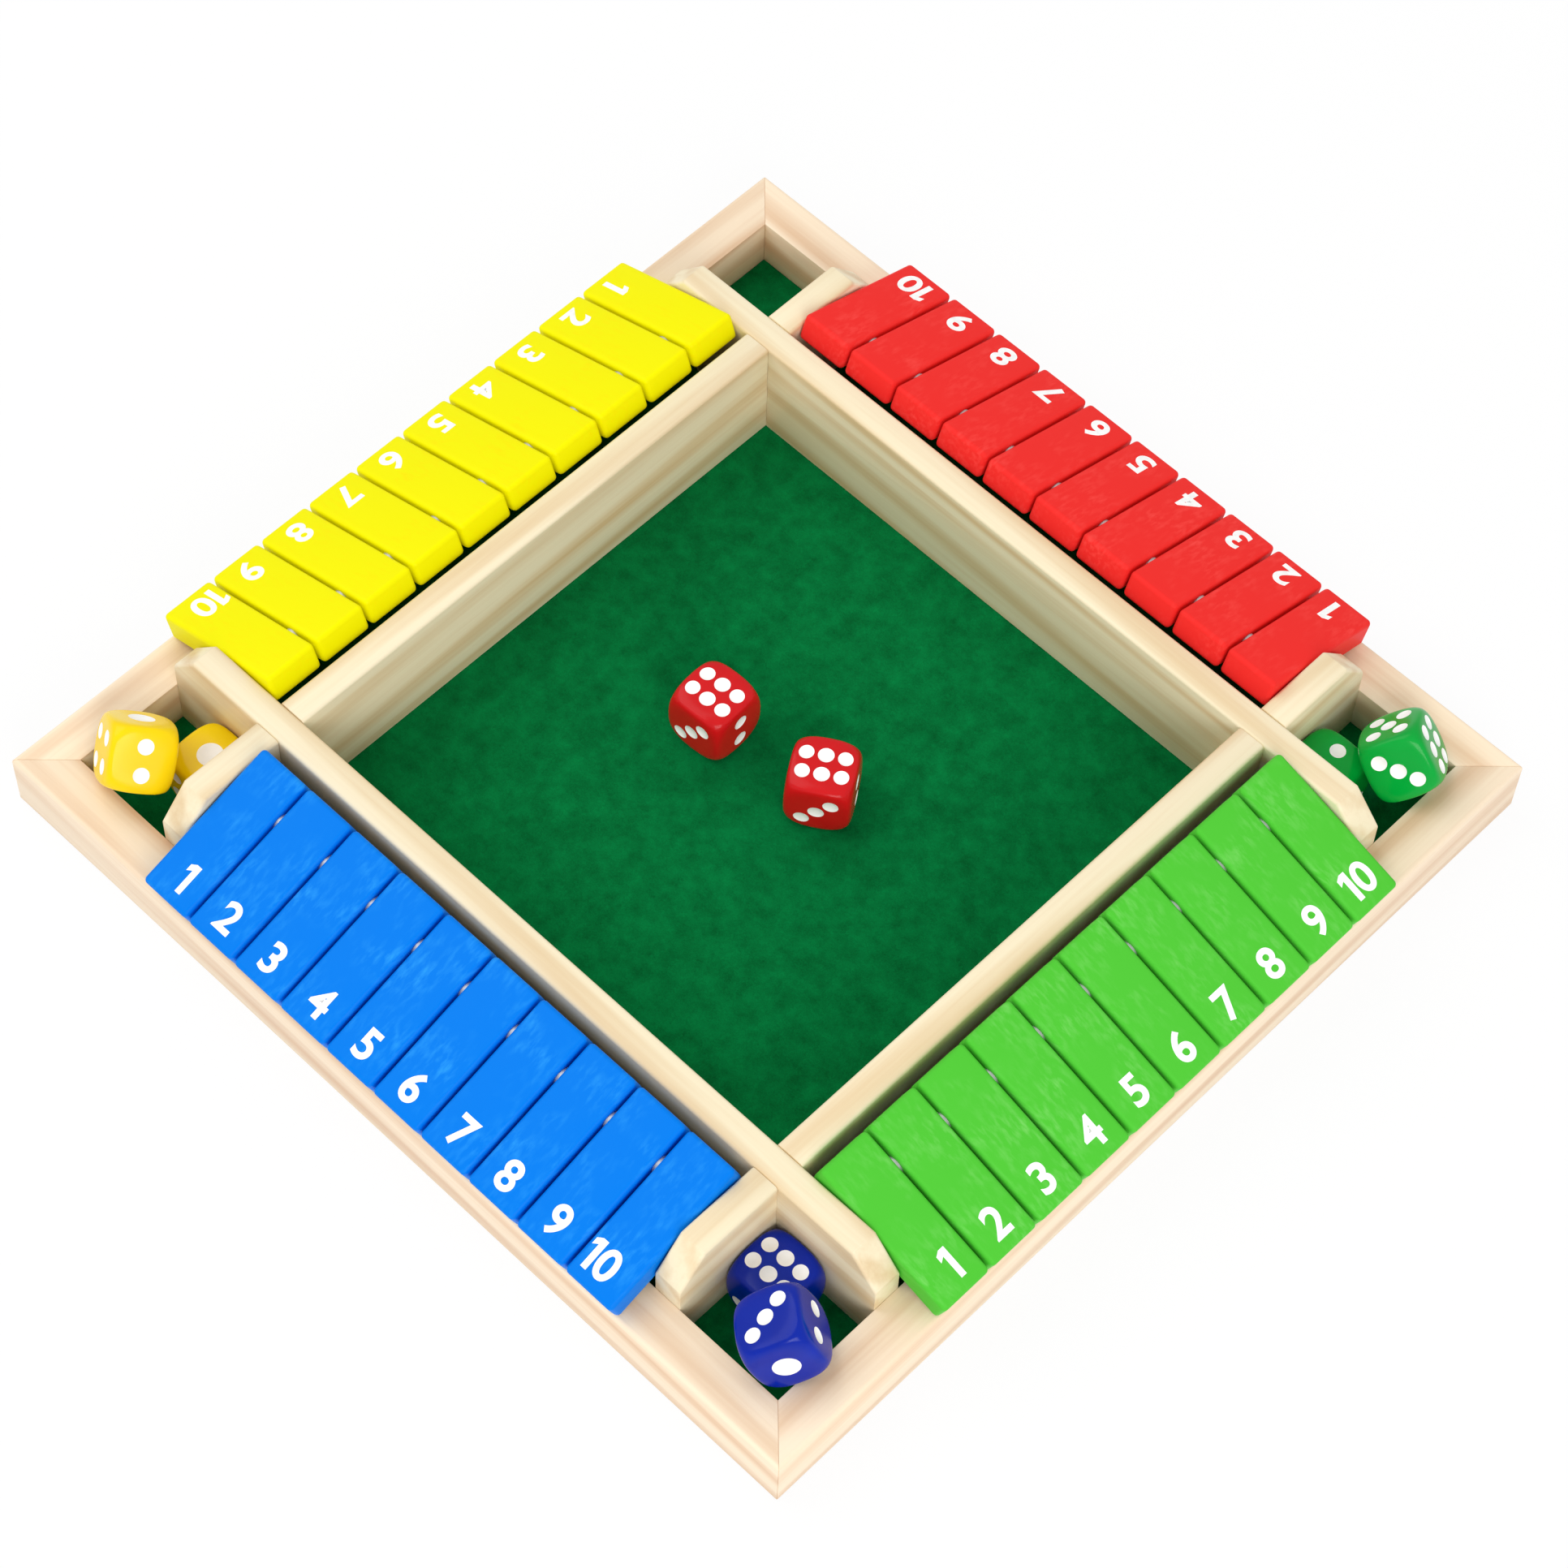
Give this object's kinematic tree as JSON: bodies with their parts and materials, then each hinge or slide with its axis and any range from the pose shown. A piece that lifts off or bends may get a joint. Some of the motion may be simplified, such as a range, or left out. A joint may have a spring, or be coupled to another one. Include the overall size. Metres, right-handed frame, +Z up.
{
  "type": "board game",
  "caption": "Square wooden dice game tray with a row of pivoting number tiles on each side, a felt rolling floor and dice in the corner pockets.",
  "frame": {"origin": "centre of the underside, on the table", "axes": "+Z up; +X along the blue row from its 1 to its 10; rows follow counter-clockwise blue, green, red, yellow"},
  "size_m": [0.234, 0.234, 0.0342],
  "materials": {
    "rail_pine": "light pine, clear satin lacquer",
    "divider_pine": "light pine, clear satin lacquer",
    "board_wood": "thin plain board",
    "green_felt": "green felt",
    "rod_steel": "plain wire",
    "washer_steel": "plain stamped",
    "blue_tile_paint": "wood, gloss blue paint",
    "green_tile_paint": "wood, gloss green paint",
    "red_tile_paint": "wood, gloss red paint",
    "yellow_tile_paint": "wood, gloss yellow paint",
    "red_die": "polished, white pips",
    "blue_die": "polished, white pips",
    "green_die": "polished, white pips",
    "yellow_die": "polished, white pips"
  },
  "bodies": {
    "tray": {"outer_rail_blue": "rail_pine", "outer_rail_green": "rail_pine", "outer_rail_red": "rail_pine", "outer_rail_yellow": "rail_pine", "base_board": "board_wood", "felt_lining": "green_felt", "divider_blue": "divider_pine", "divider_green": "divider_pine", "divider_red": "divider_pine", "divider_yellow": "divider_pine", "pivot_rods": "rod_steel", "spacer_washers": "washer_steel"},
    "tile_blue_1": {"tile_blue_1": "blue_tile_paint"},
    "tile_blue_2": {"tile_blue_2": "blue_tile_paint"},
    "tile_blue_3": {"tile_blue_3": "blue_tile_paint"},
    "tile_blue_4": {"tile_blue_4": "blue_tile_paint"},
    "tile_blue_5": {"tile_blue_5": "blue_tile_paint"},
    "tile_blue_6": {"tile_blue_6": "blue_tile_paint"},
    "tile_blue_7": {"tile_blue_7": "blue_tile_paint"},
    "tile_blue_8": {"tile_blue_8": "blue_tile_paint"},
    "tile_blue_9": {"tile_blue_9": "blue_tile_paint"},
    "tile_blue_10": {"tile_blue_10": "blue_tile_paint"},
    "tile_green_1": {"tile_green_1": "green_tile_paint"},
    "tile_green_2": {"tile_green_2": "green_tile_paint"},
    "tile_green_3": {"tile_green_3": "green_tile_paint"},
    "tile_green_4": {"tile_green_4": "green_tile_paint"},
    "tile_green_5": {"tile_green_5": "green_tile_paint"},
    "tile_green_6": {"tile_green_6": "green_tile_paint"},
    "tile_green_7": {"tile_green_7": "green_tile_paint"},
    "tile_green_8": {"tile_green_8": "green_tile_paint"},
    "tile_green_9": {"tile_green_9": "green_tile_paint"},
    "tile_green_10": {"tile_green_10": "green_tile_paint"},
    "tile_red_1": {"tile_red_1": "red_tile_paint"},
    "tile_red_2": {"tile_red_2": "red_tile_paint"},
    "tile_red_3": {"tile_red_3": "red_tile_paint"},
    "tile_red_4": {"tile_red_4": "red_tile_paint"},
    "tile_red_5": {"tile_red_5": "red_tile_paint"},
    "tile_red_6": {"tile_red_6": "red_tile_paint"},
    "tile_red_7": {"tile_red_7": "red_tile_paint"},
    "tile_red_8": {"tile_red_8": "red_tile_paint"},
    "tile_red_9": {"tile_red_9": "red_tile_paint"},
    "tile_red_10": {"tile_red_10": "red_tile_paint"},
    "tile_yellow_1": {"tile_yellow_1": "yellow_tile_paint"},
    "tile_yellow_2": {"tile_yellow_2": "yellow_tile_paint"},
    "tile_yellow_3": {"tile_yellow_3": "yellow_tile_paint"},
    "tile_yellow_4": {"tile_yellow_4": "yellow_tile_paint"},
    "tile_yellow_5": {"tile_yellow_5": "yellow_tile_paint"},
    "tile_yellow_6": {"tile_yellow_6": "yellow_tile_paint"},
    "tile_yellow_7": {"tile_yellow_7": "yellow_tile_paint"},
    "tile_yellow_8": {"tile_yellow_8": "yellow_tile_paint"},
    "tile_yellow_9": {"tile_yellow_9": "yellow_tile_paint"},
    "tile_yellow_10": {"tile_yellow_10": "yellow_tile_paint"},
    "die_red_left": {"die_red_left": "red_die"},
    "die_red_right": {"die_red_right": "red_die"},
    "die_blue_flat": {"die_blue_flat": "blue_die"},
    "die_blue_tilted": {"die_blue_tilted": "blue_die"},
    "die_green_flat": {"die_green_flat": "green_die"},
    "die_green_tilted": {"die_green_tilted": "green_die"},
    "die_yellow_flat": {"die_yellow_flat": "yellow_die"},
    "die_yellow_tilted": {"die_yellow_tilted": "yellow_die"}
  },
  "joints": [
    {"name": "tile_blue_1_hinge", "type": "hinge", "parent": "tray", "child": "tile_blue_1", "pos_m": [-0.06345, -0.0895, 0.028], "axis": [-1, 0, 0], "range_deg": [0, 169]},
    {"name": "tile_blue_2_hinge", "type": "hinge", "parent": "tray", "child": "tile_blue_2", "pos_m": [-0.04935, -0.0895, 0.028], "axis": [-1, 0, 0], "range_deg": [0, 169]},
    {"name": "tile_blue_3_hinge", "type": "hinge", "parent": "tray", "child": "tile_blue_3", "pos_m": [-0.03525, -0.0895, 0.028], "axis": [-1, 0, 0], "range_deg": [0, 169]},
    {"name": "tile_blue_4_hinge", "type": "hinge", "parent": "tray", "child": "tile_blue_4", "pos_m": [-0.02115, -0.0895, 0.028], "axis": [-1, 0, 0], "range_deg": [0, 169]},
    {"name": "tile_blue_5_hinge", "type": "hinge", "parent": "tray", "child": "tile_blue_5", "pos_m": [-0.00705, -0.0895, 0.028], "axis": [-1, 0, 0], "range_deg": [0, 169]},
    {"name": "tile_blue_6_hinge", "type": "hinge", "parent": "tray", "child": "tile_blue_6", "pos_m": [0.00705, -0.0895, 0.028], "axis": [-1, 0, 0], "range_deg": [0, 169]},
    {"name": "tile_blue_7_hinge", "type": "hinge", "parent": "tray", "child": "tile_blue_7", "pos_m": [0.02115, -0.0895, 0.028], "axis": [-1, 0, 0], "range_deg": [0, 169]},
    {"name": "tile_blue_8_hinge", "type": "hinge", "parent": "tray", "child": "tile_blue_8", "pos_m": [0.03525, -0.0895, 0.028], "axis": [-1, 0, 0], "range_deg": [0, 169]},
    {"name": "tile_blue_9_hinge", "type": "hinge", "parent": "tray", "child": "tile_blue_9", "pos_m": [0.04935, -0.0895, 0.028], "axis": [-1, 0, 0], "range_deg": [0, 169]},
    {"name": "tile_blue_10_hinge", "type": "hinge", "parent": "tray", "child": "tile_blue_10", "pos_m": [0.06345, -0.0895, 0.028], "axis": [-1, 0, 0], "range_deg": [0, 143]},
    {"name": "tile_green_1_hinge", "type": "hinge", "parent": "tray", "child": "tile_green_1", "pos_m": [0.0895, -0.06345, 0.028], "axis": [0, -1, 0], "range_deg": [0, 169]},
    {"name": "tile_green_2_hinge", "type": "hinge", "parent": "tray", "child": "tile_green_2", "pos_m": [0.0895, -0.04935, 0.028], "axis": [0, -1, 0], "range_deg": [0, 169]},
    {"name": "tile_green_3_hinge", "type": "hinge", "parent": "tray", "child": "tile_green_3", "pos_m": [0.0895, -0.03525, 0.028], "axis": [0, -1, 0], "range_deg": [0, 169]},
    {"name": "tile_green_4_hinge", "type": "hinge", "parent": "tray", "child": "tile_green_4", "pos_m": [0.0895, -0.02115, 0.028], "axis": [0, -1, 0], "range_deg": [0, 169]},
    {"name": "tile_green_5_hinge", "type": "hinge", "parent": "tray", "child": "tile_green_5", "pos_m": [0.0895, -0.00705, 0.028], "axis": [0, -1, 0], "range_deg": [0, 169]},
    {"name": "tile_green_6_hinge", "type": "hinge", "parent": "tray", "child": "tile_green_6", "pos_m": [0.0895, 0.00705, 0.028], "axis": [0, -1, 0], "range_deg": [0, 169]},
    {"name": "tile_green_7_hinge", "type": "hinge", "parent": "tray", "child": "tile_green_7", "pos_m": [0.0895, 0.02115, 0.028], "axis": [0, -1, 0], "range_deg": [0, 169]},
    {"name": "tile_green_8_hinge", "type": "hinge", "parent": "tray", "child": "tile_green_8", "pos_m": [0.0895, 0.03525, 0.028], "axis": [0, -1, 0], "range_deg": [0, 169]},
    {"name": "tile_green_9_hinge", "type": "hinge", "parent": "tray", "child": "tile_green_9", "pos_m": [0.0895, 0.04935, 0.028], "axis": [0, -1, 0], "range_deg": [0, 169]},
    {"name": "tile_green_10_hinge", "type": "hinge", "parent": "tray", "child": "tile_green_10", "pos_m": [0.0895, 0.06345, 0.028], "axis": [0, -1, 0], "range_deg": [0, 143]},
    {"name": "tile_red_1_hinge", "type": "hinge", "parent": "tray", "child": "tile_red_1", "pos_m": [0.06345, 0.0895, 0.028], "axis": [1, 0, 0], "range_deg": [0, 169]},
    {"name": "tile_red_2_hinge", "type": "hinge", "parent": "tray", "child": "tile_red_2", "pos_m": [0.04935, 0.0895, 0.028], "axis": [1, 0, 0], "range_deg": [0, 169]},
    {"name": "tile_red_3_hinge", "type": "hinge", "parent": "tray", "child": "tile_red_3", "pos_m": [0.03525, 0.0895, 0.028], "axis": [1, 0, 0], "range_deg": [0, 169]},
    {"name": "tile_red_4_hinge", "type": "hinge", "parent": "tray", "child": "tile_red_4", "pos_m": [0.02115, 0.0895, 0.028], "axis": [1, 0, 0], "range_deg": [0, 169]},
    {"name": "tile_red_5_hinge", "type": "hinge", "parent": "tray", "child": "tile_red_5", "pos_m": [0.00705, 0.0895, 0.028], "axis": [1, 0, 0], "range_deg": [0, 169]},
    {"name": "tile_red_6_hinge", "type": "hinge", "parent": "tray", "child": "tile_red_6", "pos_m": [-0.00705, 0.0895, 0.028], "axis": [1, 0, 0], "range_deg": [0, 169]},
    {"name": "tile_red_7_hinge", "type": "hinge", "parent": "tray", "child": "tile_red_7", "pos_m": [-0.02115, 0.0895, 0.028], "axis": [1, 0, 0], "range_deg": [0, 169]},
    {"name": "tile_red_8_hinge", "type": "hinge", "parent": "tray", "child": "tile_red_8", "pos_m": [-0.03525, 0.0895, 0.028], "axis": [1, 0, 0], "range_deg": [0, 169]},
    {"name": "tile_red_9_hinge", "type": "hinge", "parent": "tray", "child": "tile_red_9", "pos_m": [-0.04935, 0.0895, 0.028], "axis": [1, 0, 0], "range_deg": [0, 169]},
    {"name": "tile_red_10_hinge", "type": "hinge", "parent": "tray", "child": "tile_red_10", "pos_m": [-0.06345, 0.0895, 0.028], "axis": [1, 0, 0], "range_deg": [0, 143]},
    {"name": "tile_yellow_1_hinge", "type": "hinge", "parent": "tray", "child": "tile_yellow_1", "pos_m": [-0.0895, 0.06345, 0.028], "axis": [0, 1, 0], "range_deg": [0, 169]},
    {"name": "tile_yellow_2_hinge", "type": "hinge", "parent": "tray", "child": "tile_yellow_2", "pos_m": [-0.0895, 0.04935, 0.028], "axis": [0, 1, 0], "range_deg": [0, 169]},
    {"name": "tile_yellow_3_hinge", "type": "hinge", "parent": "tray", "child": "tile_yellow_3", "pos_m": [-0.0895, 0.03525, 0.028], "axis": [0, 1, 0], "range_deg": [0, 169]},
    {"name": "tile_yellow_4_hinge", "type": "hinge", "parent": "tray", "child": "tile_yellow_4", "pos_m": [-0.0895, 0.02115, 0.028], "axis": [0, 1, 0], "range_deg": [0, 169]},
    {"name": "tile_yellow_5_hinge", "type": "hinge", "parent": "tray", "child": "tile_yellow_5", "pos_m": [-0.0895, 0.00705, 0.028], "axis": [0, 1, 0], "range_deg": [0, 169]},
    {"name": "tile_yellow_6_hinge", "type": "hinge", "parent": "tray", "child": "tile_yellow_6", "pos_m": [-0.0895, -0.00705, 0.028], "axis": [0, 1, 0], "range_deg": [0, 169]},
    {"name": "tile_yellow_7_hinge", "type": "hinge", "parent": "tray", "child": "tile_yellow_7", "pos_m": [-0.0895, -0.02115, 0.028], "axis": [0, 1, 0], "range_deg": [0, 169]},
    {"name": "tile_yellow_8_hinge", "type": "hinge", "parent": "tray", "child": "tile_yellow_8", "pos_m": [-0.0895, -0.03525, 0.028], "axis": [0, 1, 0], "range_deg": [0, 169]},
    {"name": "tile_yellow_9_hinge", "type": "hinge", "parent": "tray", "child": "tile_yellow_9", "pos_m": [-0.0895, -0.04935, 0.028], "axis": [0, 1, 0], "range_deg": [0, 169]},
    {"name": "tile_yellow_10_hinge", "type": "hinge", "parent": "tray", "child": "tile_yellow_10", "pos_m": [-0.0895, -0.06345, 0.028], "axis": [0, 1, 0], "range_deg": [0, 143]},
    {"name": "die_red_left_lift", "type": "slide", "parent": "tray", "child": "die_red_left", "axis": [0, 0, 1], "range_m": [0, 0.08]},
    {"name": "die_red_right_lift", "type": "slide", "parent": "tray", "child": "die_red_right", "axis": [0, 0, 1], "range_m": [0, 0.08]},
    {"name": "die_blue_flat_lift", "type": "slide", "parent": "tray", "child": "die_blue_flat", "axis": [0, 0, 1], "range_m": [0, 0.08]},
    {"name": "die_blue_tilted_lift", "type": "slide", "parent": "die_blue_flat", "child": "die_blue_tilted", "axis": [0, 0, 1], "range_m": [0, 0.08]},
    {"name": "die_green_flat_lift", "type": "slide", "parent": "tray", "child": "die_green_flat", "axis": [0, 0, 1], "range_m": [0, 0.08]},
    {"name": "die_green_tilted_lift", "type": "slide", "parent": "die_green_flat", "child": "die_green_tilted", "axis": [0, 0, 1], "range_m": [0, 0.08]},
    {"name": "die_yellow_flat_lift", "type": "slide", "parent": "tray", "child": "die_yellow_flat", "axis": [0, 0, 1], "range_m": [0, 0.08]},
    {"name": "die_yellow_tilted_lift", "type": "slide", "parent": "die_yellow_flat", "child": "die_yellow_tilted", "axis": [0, 0, 1], "range_m": [0, 0.08]}
  ]
}
